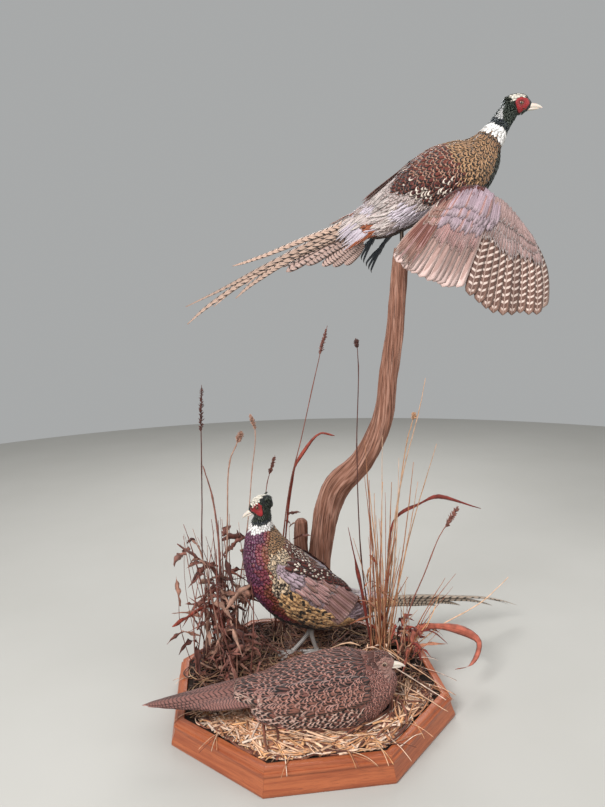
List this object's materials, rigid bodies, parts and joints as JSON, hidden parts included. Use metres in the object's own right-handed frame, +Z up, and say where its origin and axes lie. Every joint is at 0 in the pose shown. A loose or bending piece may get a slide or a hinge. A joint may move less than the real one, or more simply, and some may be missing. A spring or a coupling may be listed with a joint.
{
  "type": "taxidermy pheasant group on wooden base",
  "caption": "Mounted ring-necked pheasants on an octagonal wooden base: a cock in flight on a driftwood limb, a standing cock and a sitting hen among dry grasses",
  "frame": {"origin": "centre of the base's underside, on the surface that it stands on", "axes": "+Z up; -Y is the front flat of the base; +X is towards the flying cock's head"},
  "size_m": [0.8889, 0.6829, 1.2259],
  "materials": {
    "stained_wood": "satin-varnished stained oak moulding",
    "soil_and_straw": "dark soil under loose dry straw",
    "driftwood": "bare weathered limb, matt, grained along its length",
    "rod_steel": "short dull steel rod",
    "cock_plumage": "overlapping body feathers, scalloped gold, chestnut and black, glossy dark head, white ring, red wattle",
    "hen_plumage": "brown body feathers with dark centres and pale edges",
    "wing_feathers": "grey-buff flight feathers with pale bars and lavender-grey coverts",
    "tail_feathers": "long buff tail feathers with dark cross bars",
    "bill_horn": "pale horn, satin",
    "glass_eye": "dark glossy glass eye",
    "scaly_leg": "dark blue-grey scaled legs and toes",
    "dry_grass": "dry red-brown and straw-coloured stalks, leaves and seed heads"
  },
  "bodies": {
    "root": {"base_frame": "stained_wood", "ground": "soil_and_straw", "driftwood_limb": "driftwood", "driftwood_stub": "driftwood", "support_rod": "rod_steel", "flying_trunk": "cock_plumage", "flying_neck": "cock_plumage", "flying_head": "cock_plumage", "flying_bill_upper": "bill_horn", "flying_bill_lower": "bill_horn", "flying_eye_left": "glass_eye", "flying_eye_right": "glass_eye", "flying_wing_right_arm": "wing_feathers", "flying_wing_right_hand": "wing_feathers", "flying_wing_left_arm": "wing_feathers", "flying_wing_left_hand": "wing_feathers", "flying_tail_middle": "tail_feathers", "flying_tail_left": "tail_feathers", "flying_tail_right": "tail_feathers", "flying_shank_left": "scaly_leg", "flying_foot_left": "scaly_leg", "flying_shank_right": "scaly_leg", "flying_foot_right": "scaly_leg", "standing_cock": "cock_plumage", "sitting_hen": "hen_plumage", "grass_left": "dry_grass", "grass_back": "dry_grass", "grass_middle": "dry_grass", "grass_right": "dry_grass"}
  },
  "joints": []
}
